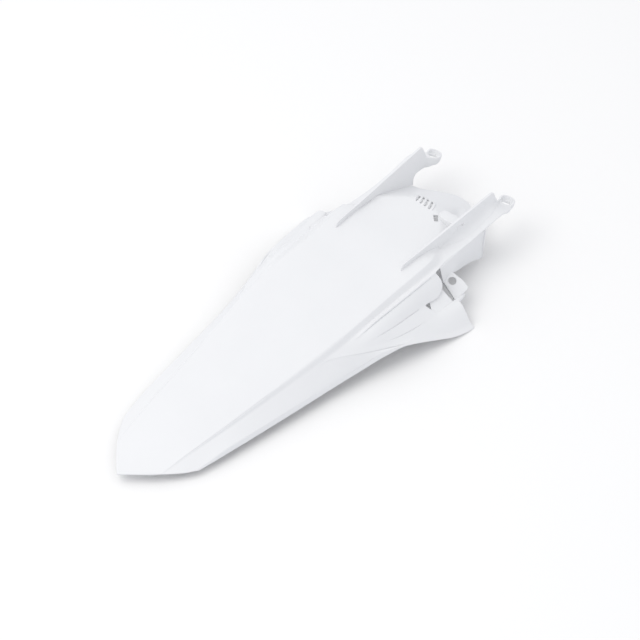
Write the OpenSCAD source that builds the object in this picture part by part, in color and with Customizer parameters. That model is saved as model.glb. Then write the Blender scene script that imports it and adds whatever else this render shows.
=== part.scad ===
// Motorcycle rear fender, one moulded plastic piece. Millimetres.
// X runs from the tail (-) to the mounting arms (+), Y to the left, Z up.
// The skin is one sheet laid over sixty cross sections. Arms, legs and tabs are added to it.

/* [Overall size] */
// Length from the tail point to the tips of the arms
total_length = 626; // [560:1:690]
// Width over the two wing flaps
total_width = 277; // [240:1:310]
// Height from the wing tips to the top of the arms
total_height = 91; // [80:1:104]

/* [Deck] */
// Thickness of the moulded sheet
wall = 2.6; // [2.2:0.1:3.4]
// Arch of the deck across its width, at the tail
tail_crown = 5; // [2:0.5:8]
// Arch of the deck across its width, near the arms
front_crown = 1.5; // [0.5:0.5:4]
// Height of the step beside the deck, at its highest
step_height = 9.5; // [6:0.5:12]
// Height of the turned-down lip along the bottom edge
lip_height = 6.5; // [4:0.5:9]

/* [Arms] */
// Thickness of the upright rib of each arm
rib_thickness = 3.2; // [2.8:0.1:4.5]
// Outer radius of the eyelet
eyelet_radius = 9.5; // [9:0.5:12]
// Thickness of the eyelet around its bore
eyelet_depth = 3.6; // [2.8:0.2:5]
// Height of the wall around the tip of the arm
tip_wall = 5; // [2:0.5:6]
// Thickness of the wall around the tip of the arm
tip_wall_thickness = 2.4; // [1.6:0.2:2.8]
// Diameter of the eyelet bore
eyelet_bore = 11.5; // [9:0.5:12.5]

/* [Legs and side tabs] */
// Thickness of each leg
leg_thickness = 2.8; // [2.4:0.1:4]
// Thickness of each side tab
tab_thickness = 3.4; // [2.8:0.1:5]
// Diameter of the side tab bore
tab_bore = 10.2; // [8:0.2:11]

/* [Front apron] */
// Number of vent slots
slot_count = 4; // [2:1:5]
// Width of a vent slot
slot_width = 3; // [2:0.5:3.5]
// Height of the raised bars beside the slots
bar_height = 1.6; // [1:0.2:2.6]
// Height of the catch over the apron
catch_height = 6; // [4:0.5:8]

/* [Hidden] */
kx = total_length / 626;
ky = total_width / 277;
kz = total_height / 91;
white = [0.93, 0.94, 0.95];

// Top rim of the deck: station, distance from the middle, height
deck_rim = [[-336, 30, 0], [-300, 36, 4], [-246, 44, 13.7], [-210, 48.5, 18.5], [-129, 58.6, 32],
    [-48, 68.5, 46.5], [3, 69.6, 52], [56, 69, 55.7], [117, 69.5, 61.3], [126, 67.3, 60.3],
    [134, 63.5, 57.2], [142, 59.2, 53.8], [150, 56.2, 51.6]];
// Foot of the step beside the deck, in front of the pods
step_foot = [[117, 73.6, 51.6], [126, 73.5, 51], [134, 71.5, 50.8], [142, 69, 51], [150, 66.5, 51.4]];
// Height of the step, along the deck
step_rise = [[-336, 0.03], [-270, 0.05], [-226, 0.28], [-137, 0.55], [-45, 0.8], [100, 1], [117, 1]];
// Bottom edge of the skirts and wing flaps
bottom_edge = [[-262, 61, -1.5], [-240, 65.5, 0.3], [-208, 70.5, 1], [-165, 76.7, 2],
    [-121, 83, 3.4], [-77, 89.2, 5.2], [-34, 97, 8.8], [-6, 103.4, 13], [13, 109, 16],
    [24, 112, 17], [46, 118.4, 11], [73, 127, 2], [93, 133, -5], [108, 136, -8],
    [125, 138.3, -10]];
// Fold that runs out from the foot of the step to the bottom edge, behind the wing flap
rear_fold = [[-69, 71, 34], [-45, 82, 32.5], [-21, 92, 27], [5, 101.5, 21.5], [24, 109.5, 18.5]];
// Outer edge of the shelf beside the deck
shelf_rim = [[-30, 77, 43], [12, 78.5, 47], [60, 79.3, 49.5], [117, 80, 52]];
// Lower fold of the side pod, and upper fold of the wing flap
pod_fold = [[-30, 84, 38], [12, 91.5, 35], [83, 93.2, 29.2], [104, 94.8, 27]];
wing_fold = [[-30, 87, 33], [12, 98, 26.5], [40, 103.5, 23], [79, 105.5, 19.5], [121, 105, 18]];
wing_middle = [[-30, 90, 30], [12, 102, 22], [40, 110, 17.5], [79, 114, 13], [121, 117, 20]];
// Rear outline of the tail, seen from above
tail_outline = [[-336, 0], [-310, 27.6], [-301, 35.5], [-284, 49], [-274, 55.7], [-266, 60],
    [-258, 62.8]];
// Where the deck turns down into the apron, and the free rim of the apron
plateau_edge = [[0, 187], [14, 184.5], [29, 174], [42, 163], [56, 148]];
apron_rim = [[0, 258, 19], [9, 258, 18.7], [17, 254, 19.5], [26, 242.5, 26], [35, 233, 28.5],
    [44, 226, 30], [56, 223, 30]];
// Flange of the arm: inner and outer edge
flange_inner = [[150, 56.2, 51.6], [185, 56.8, 52.5], [215, 57.6, 59], [232, 58.2, 63.5],
    [240, 58.4, 63.5], [248, 58.4, 58.5], [256, 58.6, 53]];
flange_outer = [[117, 80, 52], [126, 77.5, 50.5], [134, 75.6, 50], [150, 75, 50], [185, 75, 50.5],
    [215, 75, 53.5], [240, 75, 56.2], [256, 73.4, 51.8]];
// Front end of each outer column of the skin
pod_front = [116, 116.5, 119, 117.5, 105];
wing_front = [125, 124, 122.5, 124, 125];

deck_columns = 6;
tail_rows = [0, 0.035, 0.09, 0.17, 0.27, 0.38, 0.5, 0.62, 0.74, 0.87, 1];
tail_join = -150;
body_rows = [-134, -118, -102, -88, -76, -66, -56, -45, -34, -23, -12, -2, 8, 17, 26, 35, 44, 53,
    62, 71, 80, 88, 95, 102, 109, 117];
blend_rows = [0.2, 0.4, 0.6, 0.8, 1];
apron_rows = [0.05, 0.1, 0.16, 0.23, 0.31, 0.39, 0.47, 0.55, 0.63, 0.71, 0.79, 0.86, 0.93, 1];
first_body = len(tail_rows);
last_body = first_body + len(body_rows) - 1;
last_blend = last_body + len(blend_rows);
last_row = last_blend + len(apron_rows);

// Columns of one half, counted from the middle
fin = deck_columns;
rim = fin + 2;
foot = fin + 3;
shelf = fin + 4;
pod_fold_column = fin + 8;
wing_fold_column = fin + 9;
fold = fin + 11;
lip = fin + 12;
edge = fin + 13;

function part(x, t, i = 0) = (i >= len(t) - 2 || x < t[i + 1][0]) ? i : part(x, t, i + 1);
function chord(t, i, c) = (t[i + 1][c] - t[i][c]) / (t[i + 1][0] - t[i][0]);
function lean(t, i, c) = i == 0 ? chord(t, 0, c)
    : i == len(t) - 1 ? chord(t, i - 1, c)
    : (chord(t, i - 1, c) + chord(t, i, c)) / 2;
// Smooth curve through the points of a table
function curve(x, t, c = 1) =
    let (i = part(x, t), d = t[i + 1][0] - t[i][0], s = (x - t[i][0]) / d)
    s < 0 ? t[0][c] + chord(t, 0, c) * (x - t[0][0])
    : s > 1 ? t[len(t) - 1][c]
    : (1 + 2 * s) * (1 - s) * (1 - s) * t[i][c] + s * (1 - s) * (1 - s) * d * lean(t, i, c)
        + s * s * (3 - 2 * s) * t[i + 1][c] - s * s * (1 - s) * d * lean(t, i + 1, c);
function mix(a, b, s) = a + (b - a) * s;
function ease(x, a, b) = let (s = max(0, min(1, (x - a) / (b - a)))) s * s * (3 - 2 * s);
function two(x, t) = [curve(x, t, 1), curve(x, t, 2)];

function rib_middle(x) = 52.6 + 0.0327 * (x - 83);
function crown(x) = mix(tail_crown, front_crown, ease(x, -120, 100));
function rim_point(x) = two(x, deck_rim);
function foot_point(x) = let (h = step_height * curve(x, step_rise), r = rim_point(x))
    [r[0] + 0.3 + 0.4 * h, r[1] - 0.1 - h];
function edge_point(x) = two(x, bottom_edge);
function lip_rise(x) = lip_height * mix(0.3, 1, ease(x, -264, -225)) * mix(1, 0.1, ease(x, 0, 40));
function lip_point(x) = let (e = edge_point(x), h = lip_rise(x), s = ease(x, 0, 50))
    [mix(e[0] - 0.28 * h, e[0] - 2.4, s), mix(e[1] + h, e[1] + 2, s)];
function fold_point(x) = let (f = foot_point(x), l = lip_point(x), e = edge_point(x))
    x < -69 ? mix(f, l, mix(0.84, 0.12, ease(x, -150, -69)))
    : x < 24 ? mix(two(x, rear_fold), mix(f, l, 0.12), 1 - ease(x, -69, -52))
    : mix(two(24, rear_fold), [e[0] - 6, e[1] + 4.6], ease(x, 24, 55));
function side_point(x, j) =
    let (f = foot_point(x), r = fold_point(x), s = [0.16, 0.22, 0.38, 0.54, 0.68, 0.8, 0.9][j - shelf],
        b = ease(x, -40, 10), q = two(x, shelf_rim), p = two(x, pod_fold), a = mix(f, r, s))
    j == shelf ? mix(a, q, b)
    : j == shelf + 1 ? mix(a, q + [0.7, -2.4 * b], b)
    : j == shelf + 2 ? mix(a, mix(q, p, 0.4) + [1.2, 0.2], b)
    : j == shelf + 3 ? mix(a, mix(q, p, 0.75) + [0.8, 0.2], b)
    : j == pod_fold_column ? mix(a, p, b)
    : j == wing_fold_column ? mix(a, two(x, wing_fold), b)
    : mix(a, two(x, wing_middle), b);
function deck_share(j) = j / fin;
function deck_width(x) = mix(0.76 * curve(x, deck_rim), rib_middle(x) - 0.5, ease(x, 40, 90));
function deck_height(x, w) = let (r = rim_point(min(x, 117)), s = w / r[0])
    r[1] + crown(x) * (1 - s * s);
function body_point(x, j) =
    j <= fin ? let (w = deck_width(x) * deck_share(j)) [w, deck_height(x, w)]
    : j == fin + 1 ? let (w = (deck_width(x) + curve(x, deck_rim)) / 2) [w, deck_height(x, w)]
    : j == rim ? rim_point(x)
    : j == foot ? foot_point(x)
    : j < fold ? side_point(x, j)
    : j == fold ? fold_point(x)
    : j == lip ? lip_point(x)
    : edge_point(x);

// Station on the tail outline where a column starts
function start(j, a = -337, b = -250, n = 14) = n == 0 ? (a + b) / 2
    : let (m = (a + b) / 2) body_point(m, j)[0] > curve(m, tail_outline) ? start(j, m, b, n - 1)
    : start(j, a, m, n - 1);
starts = [for (j = [0:edge]) j == 0 ? -336 : start(j)];

function front_of(j) = j < shelf ? 117 : j <= pod_fold_column ? pod_front[j - shelf]
    : wing_front[j - wing_fold_column];
function body_x(x, j) = x <= 60 ? x : 60 + (x - 60) * (front_of(j) - 60) / 57;
function deck_w(j) = (rib_middle(148) - 0.5) * deck_share(j);

function front_point(k, j) =
    let (s = k <= last_blend ? blend_rows[k - last_body - 1] : apron_rows[k - last_blend - 1])
    j <= fin ? (
        k <= last_blend
        ? let (x = mix(117, curve(deck_w(j), plateau_edge), s), w = j == fin ? rib_middle(x) - 0.5
            : mix(deck_width(117), rib_middle(148) - 0.5, s) * deck_share(j),
            z0 = deck_height(117, deck_width(117) * deck_share(j)))
            [x, w, mix(z0, 60.3, s * s)]
        : let (w0 = deck_w(j), a = curve(w0, plateau_edge), r = two(w0, apron_rim),
            x = mix(a, r[0], s), d = 0.16, q = s < d ? s * s / (2 * d) : s - d / 2)
            [x, j == fin ? rib_middle(x) - 0.5 : w0, mix(60.3, r[1], q / (1 - d / 2))])
    : k <= last_blend ? let (x = mix(117, 150, s))
        j == fin + 1 ? let (r = rim_point(x), a = rib_middle(x) - 0.5)
            [x, mix((a + r[0]) / 2, rib_middle(x), s), mix(mix(60.9, r[1], 0.25), 56, s)]
        : j == rim ? [x, max(curve(x, deck_rim), rib_middle(x) + 0.6), curve(x, deck_rim, 2)]
        : j == foot ? let (x2 = mix(117, 150, s)) concat([x2], two(x2, step_foot))
        : concat([x], two(x, flange_outer))
    : let (x = mix(150, 256, s))
        j == rim ? [x, rib_middle(x) + 0.6, curve(x, flange_inner, 2)]
        : j == foot ? [x, mix(rib_middle(x) + 0.6, curve(x, flange_outer), 0.55),
            mix(curve(x, flange_inner, 2), curve(x, flange_outer, 2), 0.55) - 0.4]
        : j == fin + 1 ? [x, rib_middle(x), 52]
        : concat([x], two(x, flange_outer));

function skin_point(k, j) =
    k < first_body ? let (x = mix(starts[j], tail_join, tail_rows[k]), p = body_point(x, j))
        [x, p[0], p[1]]
    : k <= last_body ? let (x = body_x(body_rows[k - first_body], j), p = body_point(x, j))
        [x, p[0], p[1]]
    : j <= shelf ? front_point(k, j) : skin_point(last_body, j);

half_skin = [for (k = [0:last_row]) [for (j = [0:edge]) let (p = skin_point(k, j))
    [p[0] * kx, p[1] * ky, p[2] * kz]]];

// Inner side of the sheet, measured square to the outer side over a few millimetres of it
function lengths(r, j = 0, s = 0) = j >= len(r) ? []
    : let (t = j == 0 ? 0 : s + norm([r[j][1] - r[j - 1][1], r[j][2] - r[j - 1][2]]) + 0.001)
        concat([t], lengths(r, j + 1, t));
function unit(v) = v / max(0.001, norm(v));
reach = 5;
function last_column(k) = k <= last_body ? edge : shelf;
function inner_row(k) =
    let (r = half_skin[k], n = last_column(k), len_ = lengths([for (j = [0:n]) r[j]]),
        tx = [for (j = [0:n]) [len_[j], r[j][0]]], ty = [for (j = [0:n]) [len_[j], r[j][1]]],
        tz = [for (j = [0:n]) [len_[j], r[j][2]]])
    [for (j = [0:edge]) j > n ? r[j] :
        let (a = max(0, len_[j] - reach), b = min(len_[n], len_[j] + reach),
            across = j == 0 ? [0, 1, 0]
                : [lookup(b, tx) - lookup(a, tx), lookup(b, ty) - lookup(a, ty),
                    lookup(b, tz) - lookup(a, tz)],
            along = half_skin[min(k + 1, j <= shelf ? last_row : last_body)][j]
                - half_skin[max(k - 1, 0)][j],
            m = unit(cross(unit(along), unit(across))))
        r[j] - wall * (j == 0 ? unit([m[0], 0, m[2]])
            : j == edge ? [m[0], m[1], 0] / max(0.3, 1 - m[2] * m[2]) : m)];
half_inner = [for (k = [0:last_row]) inner_row(k)];

// Cells of the sheet that are there, row by row
function present(k, j) = k < 0 || k >= last_row || j < 0 || j >= edge ? false
    : k < last_body ? (j == pod_fold_column ? half_skin[k + 1][j][0] < 87 * kx : true)
    : k < last_blend ? j < shelf
    : j < fin || (j >= rim && j < shelf);

columns = 2 * edge + 1;
function signed(c) = c - edge;
function cell(k, c) = present(k, c < edge ? edge - 1 - c : c - edge);
function flip(p, c) = c < edge ? [p[0], -p[1], p[2]] : p;
skin_points = concat(
    [for (k = [0:last_row]) for (c = [0:columns - 1]) flip(half_skin[k][abs(signed(c))], c)],
    [for (k = [0:last_row]) for (c = [0:columns - 1]) flip(half_inner[k][abs(signed(c))], c)]);
under = (last_row + 1) * columns;
function at(k, c) = k * columns + c;
function quad(a, b, c, d) = [[a, b, c], [a, c, d]];
skin_faces = [for (k = [0:last_row - 1]) for (c = [0:columns - 2]) if (cell(k, c))
    let (a = at(k, c), b = at(k + 1, c), d = at(k, c + 1), e = at(k + 1, c + 1),
        fall = norm(skin_points[a] - skin_points[e]) - norm(skin_points[b] - skin_points[d]),
        short = abs(fall) < 0.001 ? c < edge : fall < 0)
    for (f = concat(
        short ? [[a, b, e], [a, e, d]] : [[a, b, d], [b, e, d]],
        short ? [[a + under, e + under, b + under], [a + under, d + under, e + under]]
            : [[a + under, d + under, b + under], [b + under, d + under, e + under]],
        cell(k - 1, c) ? [] : quad(a, d, d + under, a + under),
        cell(k + 1, c) ? [] : quad(b, b + under, e + under, e),
        cell(k, c - 1) ? [] : quad(a, a + under, b + under, b),
        cell(k, c + 1) ? [] : quad(d, e, e + under, d + under))) f];

// The sheet: deck, steps, skirts, pods, wing flaps, flanges of the arms and front apron
module skin() {
    color(white) polyhedron(points = skin_points, faces = [for (f = skin_faces) [f[0], f[2], f[1]]]);
}

// Upright rib of the arm, rooted in the deck and carried down to the apron
module arm_rib() {
    outline = [[83, 57.3], [83.4, 63], [87, 67.3], [160, 74], [239, 81], [243, 79.4],
        [250.5, 61], [252, 57.5], [252, 42.4], [247, 41.9], [234, 43.6], [229.5, 41.6], [227.4, 37], [227, 27.6], [205, 35.8], [185, 43.6],
        [166, 48.6], [148, 49.2], [146.5, 57.6]];
    color(white)
        translate([83 * kx, 52.6 * ky, 0])
            rotate([90, 0, atan(0.0327 * ky / kx)])
                translate([0, 0, -rib_thickness / 2])
                    linear_extrude(height = rib_thickness)
                        polygon([for (p = outline) [(p[0] - 83) * kx, p[1] * kz]]);
}

eyelet = [267.5 * kx, 59.8 * ky, 46.4 * kz];
eyelet_tilt = 24.8;

// Band of varying height along a path of points: [x, y, bottom, top]
module band(path, thickness) {
    n = len(path) - 1;
    function at(i) = [path[i][0], path[i][1], 0];
    function across(i) = let (d = unit(at(min(i + 1, n)) - at(max(i - 1, 0)))) [-d[1], d[0], 0];
    points = [for (i = [0:n]) for (q = [[-1, 2], [-1, 3], [1, 3], [1, 2]])
        at(i) + q[0] * thickness / 2 * across(i) + [0, 0, path[i][q[1]]]];
    sides = [for (i = [0:n - 1]) for (k = [0:3]) let (a = 4 * i + k, b = 4 * i + (k + 1) % 4)
        for (f = [[a, b, b + 4], [a, b + 4, a + 4]]) f];
    ends = [[3, 2, 1], [3, 1, 0], [4 * n, 4 * n + 1, 4 * n + 2], [4 * n, 4 * n + 2, 4 * n + 3]];
    color(white) polyhedron(points = points, faces = concat(sides, ends));
}

// Eyelet, its tongue in the flange, and the wall that carries the rib on around the tip
module arm_eyelet() {
    mid = eyelet_radius + 0.6 - tip_wall_thickness / 2;
    path = concat(
        [[-22.5, -1.8, -12, 3], [-17.5, -2.9, -12, 3], [-12, -5, -10.6, 2.2]],
        [for (a = [-120:12:120]) [mid * cos(a), mid * sin(a),
            -mix(eyelet_depth, 7.4, 1 - ease(a, -122, -60)),
            tip_wall * (0.06 + 0.94 * mix(0.3, 1, ease(a, -125, -80)) * (1 - ease(a, 74, 116)))]]);
    color(white) translate(eyelet) rotate([0, eyelet_tilt, 0]) {
        translate([0, 0, -eyelet_depth]) cylinder(r = eyelet_radius, h = eyelet_depth, $fn = 48);
        translate([0, 0, -eyelet_depth + 0.2]) linear_extrude(height = eyelet_depth - 0.4)
            polygon([[-17, -3.4], [-9, -7], [-3, -9], [3, -8.4], [3, 8.4], [-0.5, 9.7], [-12, 13.4],
                [-20, 14.4]]);
        band(path, tip_wall_thickness);
    }
}

// Leg that hangs from the flange, carried back and out to the side tab
leg_top = [[126, 76.5, 49.2], [134, 75, 49], [150, 74.2, 49.2], [170, 73.4, 49.4], [190, 72.4, 50],
    [204, 71.6, 51.4], [212, 71, 52.6], [216.5, 70.8, 53]];
leg_foot = [[130, 79.8, 21], [139, 78.7, 23.6], [148, 78, 26], [158, 75, 18], [170, 71.6, 12.5],
    [191, 70.2, 7], [209, 70, -1], [216.5, 70, 2.5]];
module leg() {
    n = len(leg_top) - 1;
    m = 4;
    function leg_point(i, s, d) = let (p = mix(leg_top[i], leg_foot[i], s))
        [p[0] * kx, p[1] * ky + d, p[2] * kz];
    points = concat(
        [for (i = [0:n]) for (s = [0:m]) leg_point(i, s / m, -leg_thickness / 2)],
        [for (i = [0:n]) for (s = [0:m]) leg_point(i, s / m, leg_thickness / 2)]);
    o = (n + 1) * (m + 1);
    function id(i, s) = i * (m + 1) + s;
    faces = concat(
        [for (i = [0:n - 1]) for (s = [0:m - 1]) for (f = [
            [id(i, s), id(i, s + 1), id(i + 1, s + 1)], [id(i, s), id(i + 1, s + 1), id(i + 1, s)],
            [o + id(i, s), o + id(i + 1, s + 1), o + id(i, s + 1)],
            [o + id(i, s), o + id(i + 1, s), o + id(i + 1, s + 1)]]) f],
        [for (i = [0:n - 1]) for (f = [
            [id(i, 0), id(i + 1, 0), o + id(i + 1, 0)], [id(i, 0), o + id(i + 1, 0), o + id(i, 0)],
            [id(i, m), o + id(i + 1, m), id(i + 1, m)], [id(i, m), o + id(i, m), o + id(i + 1, m)]]) f],
        [for (s = [0:m - 1]) for (f = [
            [id(0, s), o + id(0, s + 1), id(0, s + 1)], [id(0, s), o + id(0, s), o + id(0, s + 1)],
            [id(n, s), id(n, s + 1), o + id(n, s + 1)], [id(n, s), o + id(n, s + 1), o + id(n, s)]]) f]);
    color(white) polyhedron(points = points, faces = [for (f = faces) [f[0], f[2], f[1]]]);
}

tab_centre = [139.9 * kx, 86 * ky, 23.3 * kz];
tab_turn = [-24.9, -16, 0];

// Side tab between the leg and the wing flap
module side_tab() {
    color(white) translate(tab_centre) rotate(tab_turn) translate([0, 0, -tab_thickness])
        linear_extrude(height = tab_thickness)
            polygon([[8.5, -8.6], [9.9, 8.7], [7.9, 20.2], [-6, 19.6], [-16, 19], [-8, -8]]);
}

// Thick outer end of the side tab, rooted in the front corner of the wing flap
module tab_root() {
    color(white) hull() {
        translate([128 * kx, 101.4 * ky, 7.4 * kz]) cube([15 * kx, 3.2, 4.4]);
        translate([114 * kx, 105 * ky, 12.4 * kz]) cube([8 * kx, 6, 4.8]);
    }
}

// Floor of the pocket between the pod and the wing flap
module pocket_floor() {
    y = [86 * ky, 106 * ky];
    x = [96 * kx, 117 * kx];
    points = [[x[0], y[0], 29 * kz], [x[1], y[0], 31 * kz], [x[1] + 2, y[1], 17.4 * kz],
        [x[0] - 12, y[1], 17.8 * kz]];
    color(white) polyhedron(
        points = concat(points, [for (p = points) p - [0, 0, 2.4]]),
        faces = [[0, 2, 1], [0, 3, 2], [4, 5, 6], [4, 6, 7], [0, 1, 5], [0, 5, 4], [1, 2, 6],
            [1, 6, 5], [2, 3, 7], [2, 7, 6], [3, 0, 4], [3, 4, 7]]);
}

module half() {
    arm_rib();
    arm_eyelet();
    leg();
    side_tab();
    tab_root();
    pocket_floor();
}

slope = 24;
gill_turn = 27;
gill_length = 14.5;
function gill_y(i) = (i - (slot_count - 1) / 2) * 6.8 + 5.2;

// Raised bars of the vent, set slantwise across the edge of the apron
module vent_bars() {
    for (i = [0:slot_count])
        color(white) translate([191 * kx, gill_y(i - 0.5), 57.6 * kz]) rotate([0, slope, 0])
            rotate([0, 0, gill_turn]) translate([-gill_length / 2, -1.3, -2.4])
                cube([gill_length, 2.6, 2.4 + bar_height]);
}

module vent_slots() {
    for (i = [0:slot_count - 1])
        translate([191 * kx, gill_y(i), 57 * kz]) rotate([0, slope, 0]) rotate([0, 0, gill_turn])
            translate([1 - gill_length / 2, -slot_width / 2, -8])
                cube([gill_length - 2, slot_width, 14]);
}

// Catch beside the right arm: a flat seat carried forward from the deck over the apron
module catch() {
    outline = [[-10.5, 7], [-4, 13], [5, 10], [10, -7], [12, -19], [-7, -19], [-9.5, -5]];
    color(white) translate([190.5 * kx, -35 * ky, 55.4 * kz]) rotate([0, 5, 0])
        translate([0, 0, -8]) linear_extrude(height = 8 + catch_height)
            polygon([for (p = outline) [p[0] * kx, p[1] * ky]]);
}

// Slanted hole behind the catch, and the pocket between the catch and the rib
module openings() {
    hole = [[2, 6.6], [6.4, 2], [-2.2, -5.4], [-5.4, -2.2]];
    translate([177 * kx, -25 * ky, 50 * kz]) linear_extrude(height = 16)
        polygon([for (p = hole) [p[0] * kx, p[1] * ky]]);
    translate([214 * kx, -42 * ky, 44 * kz]) rotate([0, slope + 4, 0])
        translate([-7, -9, -14]) cube([15, 16, 20]);
}

module bores() {
    for (side = [-1, 1]) {
        translate([eyelet[0], side * eyelet[1], eyelet[2]]) rotate([0, eyelet_tilt, 0])
            translate([0, 0, -eyelet_depth - 3])
                cylinder(d = eyelet_bore, h = eyelet_depth + 6, $fn = 48);
        translate([tab_centre[0], side * tab_centre[1], tab_centre[2]])
            rotate([side * tab_turn[0], tab_turn[1], 0])
                translate([0, 0, -tab_thickness - 3])
                    cylinder(d = tab_bore, h = tab_thickness + 6, $fn = 48);
    }
}

// The middle of the whole length stands over the origin, and the wing tips rest at height zero
tail_to_middle = 336 * kx - (336 * kx + eyelet[0] + (eyelet_radius + 0.6) * cos(eyelet_tilt)
    + tip_wall * sin(eyelet_tilt)) / 2;

module rear_fender() {
    translate([tail_to_middle, 0, 10 * kz]) difference() {
        union() {
            skin();
            half();
            mirror([0, 1, 0]) half();
            vent_bars();
            catch();
        }
        bores();
        vent_slots();
        openings();
    }
}

rear_fender();
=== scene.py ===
"""Motorcycle rear fender, one white plastic moulding, dressed around its CAD part.

The design values are in millimetres, with X from the tail to the arms, Y to the left and Z up.
Most curves are those of the CAD source, and a few are drawn finer here. Each piece is drawn in
millimetres and joined to the moulding in metres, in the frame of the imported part.

The sheet is drawn as one half. Its rows k run from the tail to the apron, and its columns j from
the middle of the deck out to the edge of the skirt. A column of the whole sheet is called c.
"""
import itertools
import math

import bmesh
import bpy
import numpy as np
from mathutils import Matrix, Vector


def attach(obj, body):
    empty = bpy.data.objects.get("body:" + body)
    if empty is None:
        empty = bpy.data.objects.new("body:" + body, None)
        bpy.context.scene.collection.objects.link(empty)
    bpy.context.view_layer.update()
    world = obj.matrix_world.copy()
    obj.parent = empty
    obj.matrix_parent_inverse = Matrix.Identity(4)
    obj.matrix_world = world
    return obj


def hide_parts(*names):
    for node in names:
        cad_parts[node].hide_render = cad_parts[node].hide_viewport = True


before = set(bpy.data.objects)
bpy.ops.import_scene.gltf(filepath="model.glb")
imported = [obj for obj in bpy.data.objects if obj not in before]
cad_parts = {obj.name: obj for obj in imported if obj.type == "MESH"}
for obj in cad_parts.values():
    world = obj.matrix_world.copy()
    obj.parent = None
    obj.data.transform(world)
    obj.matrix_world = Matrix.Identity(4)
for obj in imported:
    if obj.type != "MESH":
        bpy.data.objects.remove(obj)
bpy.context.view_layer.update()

MM = 0.001
TINY = 0.001
TO_ROW = np.array([28.617, 0.0, 10.0])
WALL = 2.6

# Curves along the length: station, distance from the middle, height.
DECK_RIM = [[-336, 30, 0], [-300, 36, 4], [-246, 44, 13.7], [-210, 48.5, 18.5], [-129, 58.6, 32],
            [-48, 68.5, 46.5], [3, 69.6, 52], [56, 69, 55.7], [117, 69.5, 61.3], [126, 67.3, 60.3],
            [134, 63.5, 57.2], [142, 59.2, 53.8], [150, 56.2, 51.6]]
STEP_FOOT = [[117, 73.6, 51.6], [126, 73.5, 51], [134, 71.5, 50.8], [142, 69, 51], [150, 66.5, 51.4]]
BOTTOM_EDGE = [[-262, 61, -1.5], [-240, 65.5, 0.3], [-208, 70.5, 1], [-165, 76.7, 2],
               [-121, 83, 3.4], [-77, 89.2, 5.2], [-34, 97, 8.8], [-6, 103.4, 13], [13, 109, 16],
               [24, 112, 17], [46, 118.4, 11], [73, 127, 2], [93, 133, -5], [108, 136, -8],
               [125, 138.3, -10]]
REAR_FOLD = [[-69, 71, 34], [-45, 82, 32.5], [-21, 92, 27], [5, 101.5, 21.5], [24, 109.5, 18.5]]
SHELF_RIM = [[-30, 77, 43], [12, 78.5, 47], [60, 79.3, 49.5], [117, 80, 52]]
POD_FOLD = [[-30, 84, 38], [12, 91.5, 35], [83, 93.2, 29.2], [104, 94.8, 27]]
WING_FOLD = [[-30, 87, 33], [12, 98, 26.5], [40, 103.5, 23], [79, 105.5, 19.5], [121, 105, 18]]
WING_MIDDLE = [[-30, 90, 30], [12, 102, 22], [40, 110, 17.5], [79, 114, 13], [121, 117, 20]]
FLANGE_OUTER = [[117, 80, 52], [126, 77.5, 50.5], [134, 75.6, 50], [150, 75, 50], [185, 75, 50.5],
                [215, 75.4, 53.5], [240, 76.4, 56.2], [256, 75.4, 51.8]]

# Station and height of the flange where it meets the rib, and station and share of the step.
FLANGE_ROOT = [[150, 51.6], [185, 52.5], [215, 59], [232, 63.5], [240, 63.5], [248, 58.5], [256, 53]]
STEP_RISE = [[-336, 0.06], [-270, 0.1], [-226, 0.28], [-137, 0.55], [-45, 0.8], [100, 1], [117, 1]]

# The tail seen from above: station, distance from the middle.
TAIL_OUTLINE = [[-336, 0], [-310, 27.6], [-301, 35.5], [-284, 49], [-274, 55.7], [-266, 60],
                [-258, 62.8]]

# Between the arms: distance from the middle, station and, for the apron's lower rim, height.
PLATEAU_EDGE = [[0, 187], [14, 184.5], [29, 174], [42, 163], [56, 148]]
APRON_RIM = [[0, 258, 19], [9, 258, 18.7], [17, 254, 19.5], [26, 242.5, 26], [35, 233, 28.5],
             [44, 226, 30], [56, 223, 30]]

# Stations where the columns of the pod and of the wing flap end, from the inside outwards.
POD_FRONT = [116, 116.5, 119, 117.5, 105]
WING_FRONT = [125, 124, 123.4, 125.6, 125.2]

DECK_END = 117
ARM_START = 150
ARM_END = 256
STRETCH_START = 60
POD_GAP_START = 87
PLATEAU_SIDE = PLATEAU_EDGE[-1][1]
PLATEAU_HEIGHT = 60.3
APRON_TURN = 0.16

# A name that ends in CHANGE is the pair of stations between which one form turns into the next.
TAIL_CROWN = 5.0
FRONT_CROWN = 1.5
CROWN_CHANGE = (-120, 100)
FLAT_DECK_SHARE = 0.76
DECK_CHANGE = (40, 90)
STEP_HEIGHT = 9.5
STEP_LEAN = 0.4
LEAST_STEP = np.array([0.3, -0.1])

# The lip: its height and lean along the skirt, its share of that at both ends, and on the flap.
LIP_HEIGHT = 6.5
LIP_LEAN = 0.28
LIP_TAIL_SHARE = 0.3
LIP_TAIL_CHANGE = (-264, -225)
LIP_FRONT_SHARE = 0.1
LIP_FRONT_CHANGE = (0, 40)
FLAP_LIP = np.array([-2.4, 2])
FLAP_CHANGE = (0, 50)

# The lower fold: its share of the way from the step's foot to the lip at the tail and further on,
# its place over the flap's edge, and the stations where each stretch starts or stands alone.
FOLD_TAIL_SHARE = 0.84
FOLD_SKIRT_SHARE = 0.12
FOLD_RISE_START = -150
REAR_FOLD_FULL = -52
FLAP_FOLD = np.array([-6, 4.6])
FLAP_FOLD_FULL = 55

# The side: the columns' shares of the plain skirt, then the shelf's step out and down, and the
# pod's arch as share of its breadth, way out and way up.
SIDE_SHARES = [0.16, 0.22, 0.38, 0.54, 0.68, 0.8, 0.9]
SIDE_CHANGE = (-40, 10)
SHELF_STEP = (0.7, 2.4)
POD_ARCH = [(0.4, 1.2, 0.2), (0.75, 0.8, 0.2)]

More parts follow.
